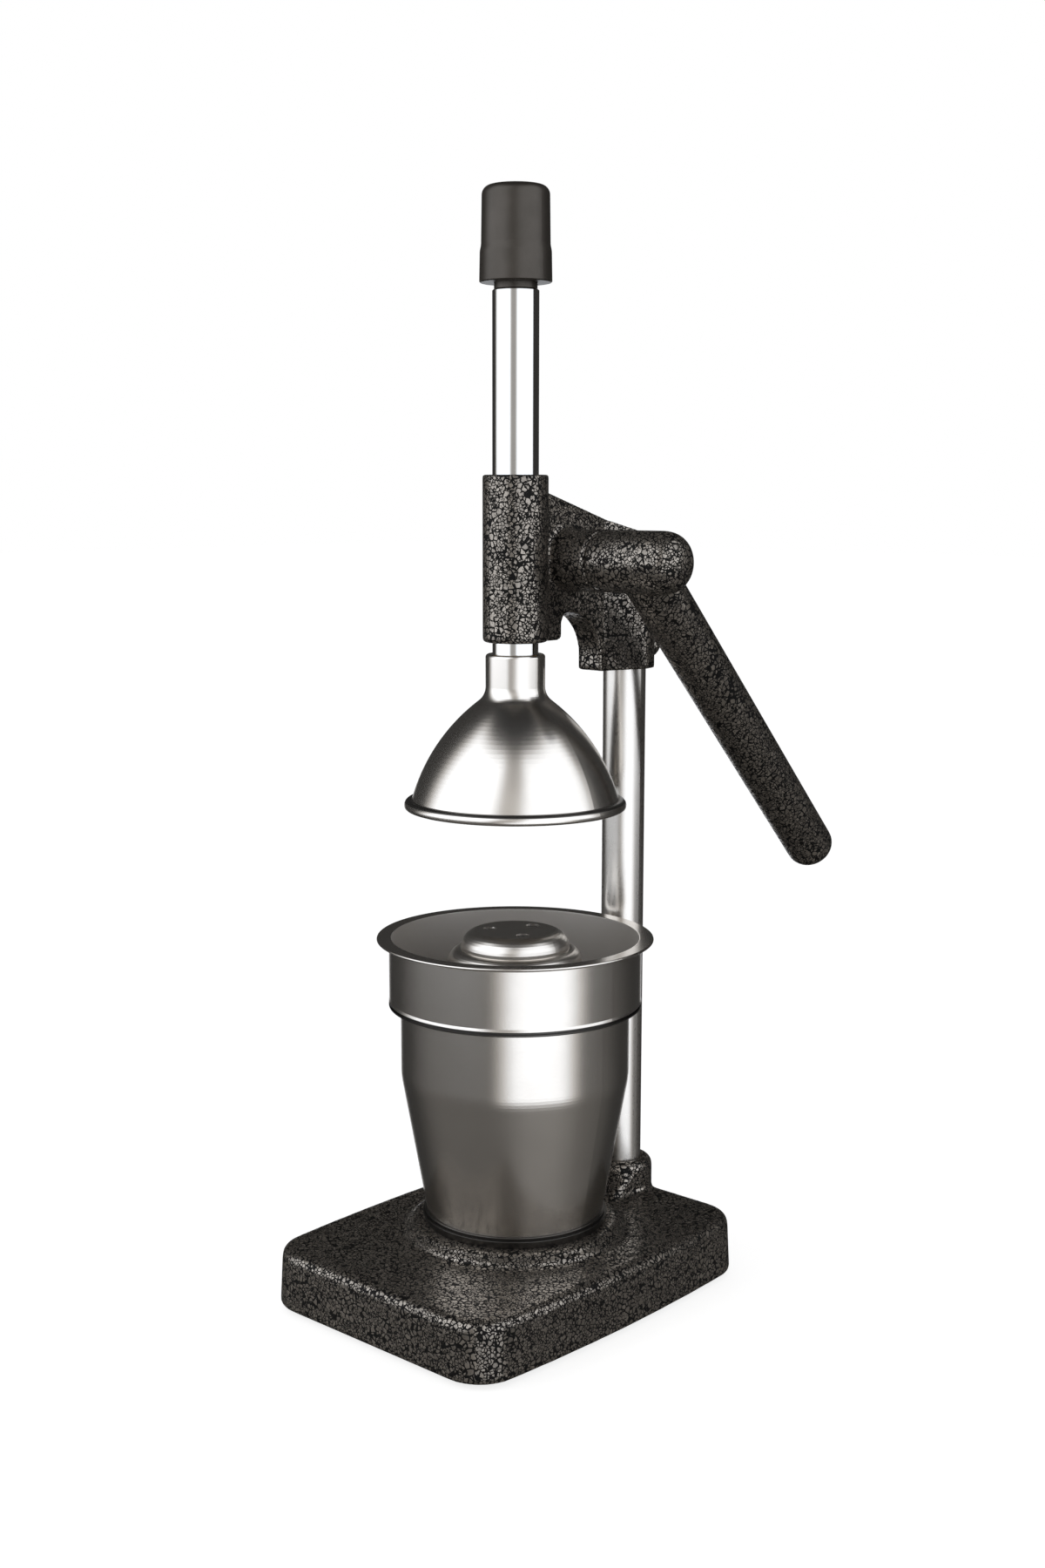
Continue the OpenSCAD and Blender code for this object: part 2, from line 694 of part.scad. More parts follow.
// One pinion tooth about the Y axis of its own drawing, with involute flanks
module tooth(r_base) {
    half_angle = 90 / gear_teeth - backlash / 4 / pitch_r * 180 / PI + involute(pitch_r, r_base);
    steps = 6;
    start_r = max(r_base, root_r);
    flank = [
        for (i = [0 : steps])
            let (r = start_r + (gear_r - start_r) * i / steps, a = half_angle - involute(r, r_base))
                r * [cos(a), sin(a)]
    ];
    polygon(concat(
        [[root_r - overrun, -flank[0][1]]],
        [for (p = flank) [p[0], -p[1]]],
        [for (i = [steps : -1 : 0]) flank[i]],
        [[root_r - overrun, flank[0][1]]]
    ));
}

module pinion_gear() {
    r_base = pitch_r * cos(pressure_angle);
    color(dark_steel) difference() {
        union() {
            at_shaft() rotate([90, 0, 90]) translate([0, 0, -gear_w / 2]) linear_extrude(gear_w) {
                circle(root_r);
                for (i = [0 : gear_teeth - 1]) rotate(360 / gear_teeth * i) tooth(r_base);
            }
            bar_x(gear_hub_r, -gear_hub_x, 0, shaft_y, shaft_z);
        }
        bar_x(shaft_r + fit_gap, -gear_hub_x - overrun, gear_w, shaft_y, shaft_z);
        translate([-gear_hub_x - overrun, shaft_y - key_w / 2, shaft_z])
            cube([gear_hub_x + gear_w, key_w, shaft_r + key_h / 2 + fit_gap]);
    }
}

module pinion_key() {
    color(dark_steel) translate([-gear_hub_x, shaft_y - key_w / 2 + fit_gap, shaft_z + shaft_r - key_h / 2])
        cube([gear_hub_x + gear_w / 2 - fit_gap, key_w - 2 * fit_gap, key_h]);
}

module shaft_ring() {
    color(dark_steel) translate([-ring_x - ring_t + fit_gap, shaft_y, shaft_z]) rotate([0, 90, 0])
        rotate_extrude(angle = 300) translate([ring_groove_r + fit_gap, 0]) square([ring_r - ring_groove_r, ring_t - 2 * fit_gap]);
}

// Hub with a round, slightly flattened end, and the tapered round arm
module lever_handle() {
    arm_len = lever_reach - lever_edge_r;
    dome_x = hub_tip_x - hub_dome_h;
    color(paint) at_shaft() difference() {
        union() {
            rotate([0, 90, 0]) rotate_extrude() polygon(concat(
                [[0, seam_x + seat_gap], [hub_r - 0.6 * mm, seam_x + seat_gap], [hub_r, seam_x + seat_gap + 0.6 * mm]],
                [for (i = [0 : hub_dome_steps - 1]) let (a = 90 * i / hub_dome_steps)
                    [hub_r * pow(cos(a), hub_dome_power), dome_x + hub_dome_h * pow(sin(a), hub_dome_power)]],
                [[0, hub_tip_x]]
            ));
            translate([lever_x, 0, 0]) rotate([-90 - lever_drop, 0, 0]) rotate_extrude() polygon(concat(
                [[0, 0], [lever_root_r, 0]],
                arc([lever_end_r - lever_edge_r, arm_len], lever_edge_r, 0, 90, 12),
                [[0, lever_reach]]
            ));
        }
        rotate([0, 90, 0]) cylinder(r = shaft_r + fit_gap, h = shaft_nose_x + 0.5 * mm);
        lever_screw_hole();
    }
}

module lever_set_screw() {
    color(dark_steel) at_shaft() at_lever_screw() set_screw(set_r, hub_r - shaft_r);
}

// Tooth spaces of the rack, cut into the back of the ram
module rack_cut() {
    reach = 12 * mm;
    low_z = shaft_z - reach;
    high_z = shaft_z + stroke + reach;
    half_w = gear_w / 2 + seat_gap;
    lean = tan(pressure_angle);
    count = ceil((high_z - low_z) / rack_pitch);
    mid_half = (rack_pitch / 2 + backlash / 2) / 2;
    root_half = mid_half - (rack_y - rack_root_y) * lean;
    tip_half = mid_half + (rack_tip_y - rack_y) * lean;
    along_x(-half_w, half_w) for (i = [0 : count]) {
        z = shaft_z + (i - ceil(reach / rack_pitch)) * rack_pitch;
        polygon([
            [press_y + rack_root_y, z - root_half], [press_y + rack_tip_y, z - tip_half],
            [press_y + ram_r + overrun, z - tip_half], [press_y + ram_r + overrun, z + tip_half],
            [press_y + rack_tip_y, z + tip_half], [press_y + rack_root_y, z + root_half]
        ]);
    }
    translate([-half_w, press_y + rack_tip_y, low_z - rack_pitch]) cube([2 * half_w, ram_r, high_z - low_z + 2 * rack_pitch]);
}

module ram_bar() {
    shoulder_z = cap_low - ram_collar;
    color(bright) difference() {
        at_press() rotate_extrude() polygon([
            [0, ram_low], [ram_r - ram_edge_r, ram_low], [ram_r, ram_low + ram_edge_r],
            [ram_r, shoulder_z - ram_edge_r], [ram_r - ram_edge_r, shoulder_z],
            [spigot_r, shoulder_z], [spigot_r, cap_low + spigot_h], [0, cap_low + spigot_h]
        ]);
        rack_cut();
        at_press() translate([0, 0, ram_low - overrun]) cylinder(r = bolt_r + fit_gap, h = bolt_len);
    }
}

// Cap with a short collar that sits on the ram's shoulder
module end_cap() {
    shoulder_z = cap_low - ram_collar;
    color(cap_metal) difference() {
        at_press() rotate_extrude() polygon(concat(
            [[0, shoulder_z], [spigot_r + collar_wall, shoulder_z], [spigot_r + collar_wall, cap_low]],
            [[cap_r - 0.5 * mm, cap_low], [cap_r, cap_low + 0.5 * mm]],
            [for (share = cap_step_shares) [cap_r - cap_step * share[0], cap_low + cap_band_h + cap_step_h * share[1]]],
            arc([cap_upper_r - cap_edge_r, cap_top - cap_crown - cap_edge_r], cap_edge_r, 0, 88, 10),
            [[0, cap_top]]
        ));
        at_press() translate([0, 0, shoulder_z - overrun])
            cylinder(r = spigot_r + fit_gap, h = ram_collar + spigot_h + overrun);
        translate([0, press_y, cap_low + spigot_h / 2]) rotate([-90, 0, 0]) cylinder(r = set_r + fit_gap, h = 2 * cap_r);
    }
}

module cap_set_screw() {
    color(dark_steel) translate([0, press_y + spigot_r, cap_low + spigot_h / 2]) rotate([-90, 0, 0])
        set_screw(set_r, cap_r - spigot_r - 1 * mm);
}

// Bell: round rim bead, dome arc, fillet and neck, with the ram's socket in the neck
module press_bell() {
    fillet_x = neck_r + neck_fillet_r;
    reach = dome_arc_r + neck_fillet_r;
    fillet_z = dome_arc_z + sqrt(pow(reach, 2) - pow(fillet_x - dome_arc_x, 2));
    meet_angle = atan2(fillet_z - dome_arc_z, fillet_x - dome_arc_x);
    foot_angle = atan2(dome_foot_h, rim_step - dome_arc_x);
    inner_r = dome_arc_r - bell_wall;
    inner_top_angle = asin((ceiling_z - dome_arc_z) / inner_r);
    color(satin) difference() {
        at_press() rotate_extrude() polygon(concat(
            [[rim_step - bell_wall, bell_low], [bell_r - rim_lip_r, bell_low]],
            arc([bell_r - rim_lip_r, bell_low + rim_lip_r], rim_lip_r, -75, 0, 6),
            arc([bell_r - rim_shoulder_r, bell_low + rim_h - rim_shoulder_r], rim_shoulder_r, 0, 90, 8),
            arc([dome_arc_x, dome_arc_z], dome_arc_r, foot_angle, meet_angle, 24),
            arc([fillet_x, fillet_z], neck_fillet_r, meet_angle + 180, 180, 8),
            arc([neck_r - neck_edge_r, neck_top - neck_edge_r], neck_edge_r, 0, 90, 5),
            [[0, neck_top], [0, ceiling_z]],
            arc([dome_arc_x, dome_arc_z], inner_r, inner_top_angle, asin(dome_foot_h / inner_r), 24)
        ));
        at_press() translate([0, 0, ram_low]) cylinder(r = ram_r + fit_gap, h = bell_h);
        at_press() translate([0, 0, ceiling_z - overrun]) cylinder(r = bolt_r + seat_gap, h = bell_h);
    }
}

module bell_bolt() {
    head_low = ceiling_z - washer_t - bolt_head_h;
    color(dark_steel) at_press() bolt_up(head_low, bolt_head_r, bolt_head_h, bolt_r, washer_t + bolt_len);
}

module bell_washer() {
    color(dark_steel) at_press() ring_z(washer_r, bolt_r + seat_gap, ceiling_z - washer_t, ceiling_z);
}

// Flat rim, straight skirt, rolled bead, strainer floor and a short spout into the cup
module hopper() {
    inner_r = hopper_r - sheet_t;
    bead_out_r = hopper_r + bead_swell;
    seam_z = cup_top + seam_low_h;
    flare = [hopper_r + flare_r, hopper_top - sheet_t - flare_r];
    inner_flare = [inner_r + flare_edge_r, hopper_top - flare_edge_r];
    fillet = [inner_r - floor_fillet_r, floor_top + floor_fillet_r];
    color(satin) at_press() difference() {
        union() {
            rotate_extrude() polygon(concat(
                [[hopper_hole_r, cup_top]],
                arc([bead_out_r - bead_edge_r, cup_top + bead_edge_r], bead_edge_r, -90, 0, 4),
                [[bead_out_r, seam_z], [hopper_r - seam_depth, seam_z], [hopper_r - seam_depth, seam_z + seam_gap_h]],
                arc([bead_out_r - bead_edge_r, seam_z + seam_gap_h + bead_edge_r], bead_edge_r, -90, 0, 4),
                [[hopper_r, cup_top + bead_h]],
                arc(flare, flare_r, 180, 90, 6),
                arc([rim_r - sheet_t / 2, hopper_top - sheet_t / 2], sheet_t / 2, -90, 90, 8),
                arc(inner_flare, flare_edge_r, 90, 180, 5),
                arc(fillet, floor_fillet_r, 0, -90, 5),
                [[hopper_hole_r, floor_top]]
            ));
            ring_z(cup_r - sheet_t - seat_gap, cup_r - 2 * sheet_t - seat_gap, cup_top - spout_h, cup_top + sheet_t / 2);
        }
        for (i = [0 : drain_count - 1]) rotate(360 / drain_count * i) translate([drain_ring_r, 0, cup_top - overrun])
            cylinder(r = drain_r, h = sheet_t + 2 * overrun, $fn = 24);
    }
}

// Stepped dome: flat top disc, waist, lower shoulder, straight foot, flange and lip
module reamer_dome() {
    waist_r = reamer_waist_r;
    shoulder_r = reamer_r - waist_r;
    lip_r = hopper_hole_r - seat_gap;
    inner_edge_r = reamer_edge_r - reamer_wall;
    disc_angle = acos((reamer_disc_r - reamer_crown_x) / reamer_edge_r);
    ceiling_angle = asin((reamer_top - reamer_wall - reamer_waist_z) / inner_edge_r);
    color(satin) at_press() difference() {
        rotate_extrude() polygon(concat(
            [[0, reamer_top]],
            arc([reamer_crown_x, reamer_waist_z], reamer_edge_r, disc_angle, 0, 8),
            arc([waist_r, reamer_waist_z - shoulder_r], shoulder_r, 90, 0, 8),
            [[reamer_r, floor_top + reamer_wall], [reamer_flange_r, floor_top + reamer_wall], [reamer_flange_r, floor_top]],
            [[lip_r, floor_top], [lip_r, floor_top - reamer_lip_h], [lip_r - reamer_wall, floor_top - reamer_lip_h]],
            [[lip_r - reamer_wall, floor_top + reamer_wall], [reamer_r - reamer_wall, floor_top + reamer_wall]],
            arc([waist_r, reamer_waist_z - shoulder_r], shoulder_r - reamer_wall, 0, 90, 8),
            [[waist_r - reamer_wall, reamer_waist_z - reamer_wall]],
            arc([reamer_crown_x, reamer_waist_z], inner_edge_r, 0, ceiling_angle, 8),
            [[0, reamer_top - reamer_wall]]
        ));
        for (a = reamer_hole_angles) rotate(a) translate([reamer_hole_ring_r, 0, reamer_top - 2 * reamer_wall])
            cylinder(r = reamer_hole_r, h = 4 * reamer_wall);
        for (a = reamer_hole_angles) rotate(a)
            translate([reamer_hole_ring_r, 0, reamer_top - reamer_hole_edge])
                cylinder(r1 = reamer_hole_r, r2 = reamer_hole_r + 2 * reamer_hole_edge, h = 2 * reamer_hole_edge);
    }
}

// Straight upper part, tapered lower part and a foot ring
module receiver_cup() {
    taper_top = cup_top - cup_straight_h;
    foot_z = pad_top + cup_foot_h;
    floor_z = foot_z + sheet_t;
    ring_z_top = pad_top + cup_ring_h;
    step_z = ring_z_top + cup_ring_step_h;
    step_r = cup_foot_r - cup_step;
    ring_low_r = cup_foot_r - cup_ring_h * tan(cup_undercut);
    lean = atan((cup_r - cup_low_r) / (taper_top - step_z));
    bend = [cup_r - cup_bend_r, taper_top + cup_bend_r * tan(lean / 2)];
    color(satin) at_press() rotate_extrude() polygon(concat(
        [[cup_low_r - 3 * sheet_t, pad_top], [ring_low_r, pad_top]],
        arc([cup_foot_r - cup_step_edge_r, ring_z_top - cup_step_edge_r], cup_step_edge_r, 0, 90, 4),
        [[step_r - cup_ring_step_h * tan(cup_undercut), ring_z_top]],
        arc([step_r - cup_step_edge_r, step_z - cup_step_edge_r], cup_step_edge_r, 0, 90, 4),
        [[cup_low_r, step_z]],
        arc(bend, cup_bend_r, -lean, 0, 5),
        [[cup_r, cup_top], [cup_r - sheet_t, cup_top]],
        arc(bend, cup_bend_r - sheet_t, 0, -lean, 5),
        [[cup_low_r - sheet_t, floor_z], [0, floor_z], [0, foot_z - sheet_t], [cup_low_r - 3 * sheet_t, foot_z - sheet_t]]
    ));
}

base_casting();
rubber_feet();
column_bar();
column_bolt();
column_washer();
column_set_screw();
head_casting();
clamp_screw();
clamp_nut();
ram_bushes();
boss_bush();
gear_cover();
cover_bush();
cover_screws();
pinion_shaft();
pinion_gear();
pinion_key();
shaft_ring();
lever_handle();
lever_set_screw();
ram_bar();
end_cap();
cap_set_screw();
press_bell();
bell_bolt();
bell_washer();
hopper();
reamer_dome();
receiver_cup();
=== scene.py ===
# Lever citrus press: hammertone castings, bright ram, satin steel bell, hopper, reamer dome and cup
import json
import math

import bmesh
import bpy
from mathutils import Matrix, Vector


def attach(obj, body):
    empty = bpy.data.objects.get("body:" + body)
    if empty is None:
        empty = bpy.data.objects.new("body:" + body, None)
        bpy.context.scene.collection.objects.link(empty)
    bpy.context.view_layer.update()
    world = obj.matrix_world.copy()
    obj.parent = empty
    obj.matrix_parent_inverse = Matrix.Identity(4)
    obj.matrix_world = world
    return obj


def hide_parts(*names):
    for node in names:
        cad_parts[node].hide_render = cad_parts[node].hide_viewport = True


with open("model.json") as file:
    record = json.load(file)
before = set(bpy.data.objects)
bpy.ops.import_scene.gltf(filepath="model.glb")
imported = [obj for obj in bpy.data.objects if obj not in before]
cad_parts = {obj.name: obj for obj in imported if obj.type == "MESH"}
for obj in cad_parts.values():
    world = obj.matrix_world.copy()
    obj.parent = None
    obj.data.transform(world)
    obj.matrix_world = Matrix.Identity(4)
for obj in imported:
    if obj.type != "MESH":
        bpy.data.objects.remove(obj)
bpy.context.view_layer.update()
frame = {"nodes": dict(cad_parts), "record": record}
nodes = frame["nodes"]
mm = 0.001


# Lower and upper end of a node along x, y or z
def span(name, side):
    places = [corner["xyz".index(side)] for corner in nodes[name].bound_box]
    return min(places), max(places)


# Shader helpers

def newTree(name):
    material = bpy.data.materials.new(name)
    material.use_nodes = True
    tree = material.node_tree
    tree.nodes.clear()
    return material, tree


def add(tree, kind, settings=None, values=None):
    made = tree.nodes.new(kind)
    for key, value in (settings or {}).items():
        setattr(made, key, value)
    for key, value in (values or {}).items():
        socket = made.inputs[key]
        if isinstance(value, bpy.types.NodeSocket):
            tree.links.new(value, socket)
        else:
            socket.default_value = value
    return made


def calc(tree, operation, first, second=0.0):
    return add(tree, "ShaderNodeMath", {"operation": operation}, {0: first, 1: second}).outputs[0]


def vectorCalc(tree, operation, first, second):
    made = add(tree, "ShaderNodeVectorMath", {"operation": operation}, {0: first, 1: second})
    return made.outputs["Value"] if operation == "DOT_PRODUCT" else made.outputs["Vector"]


def scaled(tree, vector, factor):
    made = add(tree, "ShaderNodeVectorMath", {"operation": "SCALE"}, {0: vector, "Scale": factor})
    return made.outputs["Vector"]


def ramp(tree, value, low, high, toLow=0.0, toHigh=1.0):
    made = add(
        tree, "ShaderNodeMapRange", {"interpolation_type": "SMOOTHSTEP"},
        {"Value": value, "From Min": low, "From Max": high, "To Min": toLow, "To Max": toHigh},
    )
    return made.outputs["Result"]


# Rises from 0 at start to 1 at full, and falls back to 0 between fade and end
def between(tree, value, start, full, fade, end):
    return calc(tree, "MULTIPLY", ramp(tree, value, start, full), ramp(tree, value, fade, end, 1, 0))


def noise(tree, vector, scale, detail=2):
    return add(tree, "ShaderNodeTexNoise", {}, {"Vector": vector, "Scale": scale, "Detail": detail})


def noiseLevel(tree, vector, scale, detail=2):
    return noise(tree, vector, scale, detail).outputs["Fac"]


def voronoi(tree, vector, scale, feature):
    return add(tree, "ShaderNodeTexVoronoi", {"feature": feature}, {"Vector": vector, "Scale": scale})


# The mix node has its own sockets for colours and for plain values
def mixColor(tree, factor, first, second):
    return add(tree, "ShaderNodeMix", {"data_type": "RGBA"}, {0: factor, 6: first, 7: second}).outputs[2]


def mixValue(tree, factor, first, second):
    return add(tree, "ShaderNodeMix", {"data_type": "FLOAT"}, {0: factor, 2: first, 3: second}).outputs[0]


def objectPlace(tree):
    return add(tree, "ShaderNodeTexCoord").outputs["Object"]


def heightOf(tree, place):
    return add(tree, "ShaderNodeSeparateXYZ", {}, {0: place}).outputs["Z"]


def relief(tree, height):
    bump = add(tree, "ShaderNodeBump", {}, {"Strength": 1.0, "Distance": 1.0, "Height": height})
    return bump.outputs["Normal"]


def finishMaterial(tree, shader):
    output = tree.nodes.new("ShaderNodeOutputMaterial")
    tree.links.new(shader, output.inputs["Surface"])


# Hammertone enamel: grey metallic flakes in a dark vein network. Scales count per metre.
hammertone = {
    "flake": (0.310, 0.276, 0.238),
    "flakeShades": (0.72, 1.15),  # darkest and lightest flake against that colour
    "flakeRoughness": 0.25,
    "flakeRise": 0.05 * mm,
    "tilt": 0.075,  # how far each flake leans its own way
    "fineScale": 670,
    "coarseScale": 420,
    "patchScale": 120,  # patches of fine and of coarse flakes
    "patchLimits": (0.50, 0.56),
    "driftScale": 420,
    "drift": 0.8 * mm,  # bends the flakes' straight edges
    "vein": (0.0075, 0.0068, 0.0060, 1),
    "veinRoughness": 0.50,
    "veinScale": 420,
    "veinLimits": (0.34, 0.66),
    "veinWidths": (0.09, 0.19),
    "veinCoreShare": 0.72,  # the part of a vein that is fully dark
    "veinFade": 0.012,
    "speckScale": 1500,  # small dark specks in the flakes
    "speckLimits": (0.30, 0.37),
    "waveScale": 260,
    "wave": 0.05 * mm,
    "specular": 0.09,
    "metallic": 0.66,
    "lowMetallic": 0.42,  # near the foot of the base
    "lowHeight": 24 * mm,
    "lowBlend": 4 * mm,
}
midColor = (0.5, 0.5, 0.5)  # noise and cell colours lie around it


def flakeLayer(tree, place, scale):
    cells = voronoi(tree, place, scale, "F1")
    edge = voronoi(tree, place, scale, "DISTANCE_TO_EDGE").outputs["Distance"]
    lean = vectorCalc(tree, "SUBTRACT", cells.outputs["Color"], midColor)
    offset = vectorCalc(tree, "SUBTRACT", place, cells.outputs["Position"])
    slope = vectorCalc(tree, "DOT_PRODUCT", offset, lean)
    shade = add(tree, "ShaderNodeSeparateColor", {}, {0: cells.outputs["Color"]}).outputs[0]
    return edge, slope, shade


def makeHammertone(name):
    s = hammertone
    material, tree = newTree(name)
    place = objectPlace(tree)
    drift = vectorCalc(tree, "SUBTRACT", noise(tree, place, s["driftScale"]).outputs["Color"], midColor)
    warped = vectorCalc(tree, "ADD", place, scaled(tree, drift, s["drift"]))
    patches = ramp(tree, noiseLevel(tree, place, s["patchScale"]), *s["patchLimits"])
    fine = flakeLayer(tree, warped, s["fineScale"])
    coarse = flakeLayer(tree, warped, s["coarseScale"])
    edge, slope, shade = [mixValue(tree, patches, *pair) for pair in zip(fine, coarse)]

    width = ramp(tree, noiseLevel(tree, place, s["veinScale"]), *s["veinLimits"], *s["veinWidths"])
    core = calc(tree, "MULTIPLY", width, s["veinCoreShare"])
    flake = ramp(tree, edge, core, calc(tree, "ADD", width, s["veinFade"]))
    specks = ramp(tree, noiseLevel(tree, place, s["speckScale"], 1), *s["speckLimits"])
    flake = calc(tree, "MULTIPLY", flake, specks)
    flakeColor = scaled(tree, s["flake"], ramp(tree, shade, 0, 1, *s["flakeShades"]))

    leaning = calc(tree, "MULTIPLY", slope, s["tilt"])
    raised = calc(tree, "MULTIPLY", flake, s["flakeRise"])
    waves = calc(tree, "MULTIPLY", noiseLevel(tree, place, s["waveScale"]), s["wave"])
    height = calc(tree, "ADD", calc(tree, "ADD", leaning, raised), waves)

    lowTop = span("base_casting", "z")[0] + s["lowHeight"]
    lowLimits = (lowTop - s["lowBlend"], lowTop)
    metallic = ramp(tree, heightOf(tree, place), *lowLimits, s["lowMetallic"], s["metallic"])
    shader = add(tree, "ShaderNodeBsdfPrincipled", {}, {
        "Base Color": mixColor(tree, flake, s["vein"], flakeColor),
        "Metallic": calc(tree, "MULTIPLY", flake, metallic),
        "Roughness": mixValue(tree, flake, s["veinRoughness"], s["flakeRoughness"]),
        "Specular IOR Level": s["specular"],
        "Normal": relief(tree, height),
    })
    finishMaterial(tree, shader.outputs[0])
    return material


# Steel: fine turned or drawn grain, faint clouds and sand, a blasted inside, and painted shade in a dark
# band at a foot, seam or rim
steelPattern = {
    "cloudScale": 45,
    "cloudLimits": (0.3, 0.7),
    "grainLimits": (0.35, 0.65),
    # The next two set the edge blend and the roughness of the band of painted shade
    "paintedShadeBlend": 0.15 * mm,
    "paintedShadeRoughness": 0.36,
}


# The blasted inside of a round piece: all that lies further in than its rim
def blastedArea(tree, place, s):
    axis = (0, sum(span(s["node"], "y")) / 2, 0)
    fromAxis = vectorCalc(tree, "SUBTRACT", place, axis)
    flat = vectorCalc(tree, "MULTIPLY", fromAxis, (1, 1, 0))
    radius = add(tree, "ShaderNodeVectorMath", {"operation": "LENGTH"}, {0: flat}).outputs["Value"]
    edge = span(s["node"], "x")[1] - s["rim"]
    return ramp(tree, radius, edge - s["blend"], edge + s["blend"], 1, 0)


# The band of painted shade lies between two heights above the piece's lower end
def paintedShadeArea(tree, place, s):
    foot = span(s["node"], "z")[0]
    low = foot + s["low"]
    high = foot + s["high"]
    blend = steelPattern["paintedShadeBlend"]
    return between(tree, heightOf(tree, place), low - blend, low, high, high + blend)


def makeSteel(name, s):
    pattern = steelPattern
    material, tree = newTree(name)
    place = objectPlace(tree)
    grain = noiseLevel(tree, vectorCalc(tree, "MULTIPLY", place, s["grains"]), 1)
    cloud = noiseLevel(tree, place, pattern["cloudScale"], 3)
    sand = noiseLevel(tree, place, s["sandScale"], 1)
    color = mixColor(tree, ramp(tree, cloud, *pattern["cloudLimits"]), s["dark"], s["light"])
    color = mixColor(tree, ramp(tree, grain, *pattern["grainLimits"], 0, s["grainTint"]), color, s["dark"])
    rough = mixValue(tree, grain, s["roughness"] - s["roughSpread"], s["roughness"] + s["roughSpread"])
    grainHeight = calc(tree, "MULTIPLY", grain, s["grainDepth"])
    height = calc(tree, "ADD", grainHeight, calc(tree, "MULTIPLY", sand, s["sandDepth"]))
    metallic = 1.0
    if "blasted" in s:
        blasted = s["blasted"]
        inside = blastedArea(tree, place, blasted)
        color = mixColor(tree, inside, color, blasted["color"])
        rough = mixValue(tree, inside, rough, blasted["roughness"])
        metallic = mixValue(tree, inside, metallic, blasted["metallic"])
        height = calc(tree, "MULTIPLY", height, mixValue(tree, inside, 1.0, blasted["sandRise"]))
    # Painted shade: the colour is darkened in the band, standing in for the shade that falls there
    if "paintedShadeBand" in s:
        inPaintedShade = paintedShadeArea(tree, place, s["paintedShadeBand"])
        color = mixColor(tree, inPaintedShade, color, s["paintedShadeBand"]["color"])
        rough = mixValue(tree, inPaintedShade, rough, pattern["paintedShadeRoughness"])
    shader = add(tree, "ShaderNodeBsdfPrincipled", {}, {
        "Base Color": color,
        "Metallic": metallic,
        "Roughness": rough,
        "Normal": relief(tree, height),
    })
    finishMaterial(tree, shader.outputs[0])
    return material


# Grains counts them per metre along x, y and z
satinSteel = {
    "dark": (0.600, 0.560, 0.512, 1),
    "light": (0.630, 0.590, 0.540, 1),
    "grains": (500, 500, 1300),
    "grainTint": 0.25,
    "grainDepth": 0.0015 * mm,
    "sandScale": 1700,
    "sandDepth": 0.011 * mm,
    "roughness": 0.23,
    "roughSpread": 0.02,
}

# Painted shade: a dark band where the rim meets the dome, for the shade of the rim's upper lip
bellSteel = dict(satinSteel, sandDepth=0.0006 * mm, paintedShadeBand={
    "node": "press_bell",
    "low": 3.5 * mm,
    "high": 4.6 * mm,
    "color": (0.120, 0.112, 0.103, 1),
})

reamerSteel = dict(satinSteel, roughness=0.29)

# Painted shade: the cup's foot is darkened, for the shade where it stands in the base's seat
cupSteel = dict(satinSteel, paintedShadeBand={
    "node": "receiver_cup",
    "low": -1 * mm,
    "high": 5.1 * mm,
    "color": (0.085, 0.079, 0.072, 1),
})

# Painted shade: a dark band in the groove at the foot of the skirt, where it sits on the cup's rim
hopperSteel = dict(satinSteel, paintedShadeBand={
    "node": "hopper",
    "low": 5.9 * mm,
    "high": 8.1 * mm,
    "color": (0.075, 0.070, 0.064, 1),
}, blasted={
    "node": "hopper",
    "rim": 6.6 * mm,
    "blend": 0.12 * mm,
    "color": (0.62, 0.585, 0.545, 1),
    "roughness": 0.46,
    "metallic": 0.25,
    "sandRise": 2.0,
})

drawnSteel = {
    "dark": (0.610, 0.575, 0.530, 1),
    "light": (0.650, 0.615, 0.570, 1),
    "grains": (1300, 1300, 300),
    "grainTint": 0.25,
    "grainDepth": 0.0012 * mm,
    "sandScale": 2600,
    "sandDepth": 0.0006 * mm,
    "roughness": 0.28,
    "roughSpread": 0.02,
}

brightSteel = {
    "dark": (0.600, 0.585, 0.560, 1),
    "light": (0.640, 0.625, 0.600, 1),
    "grains": (900, 900, 500),
    "grainTint": 0.2,
    "grainDepth": 0.0006 * mm,
    "sandScale": 2600,
    "sandDepth": 0.001 * mm,
    "roughness": 0.11,
    "roughSpread": 0.015,
}

gearSteel = {
    "dark": (0.30, 0.29, 0.27, 1),
    "light": (0.40, 0.39, 0.37, 1),
    "grains": (900, 60, 60),
    "grainTint": 0.4,
    "grainDepth": 0.004 * mm,
    "sandScale": 1800,
    "sandDepth": 0.010 * mm,
    "roughness": 0.36,
    "roughSpread": 0.06,
}

blackSteel = {
    "dark": (0.10, 0.097, 0.092, 1),
    "light": (0.17, 0.165, 0.16, 1),
    "grains": (500, 500, 500),
    "grainTint": 0.4,
    "grainDepth": 0.004 * mm,
    "sandScale": 2000,
    "sandDepth": 0.010 * mm,
    "roughness": 0.38,
    "roughSpread": 0.06,
}

bushBronze = {
    "dark": (0.48, 0.31, 0.13, 1),
    "light": (0.62, 0.42, 0.20, 1),
    "grains": (300, 300, 300),
    "grainTint": 0.4,
    "grainDepth": 0.004 * mm,
    "sandScale": 1500,
    "sandDepth": 0.012 * mm,
    "roughness": 0.40,
    "roughSpread": 0.06,
}


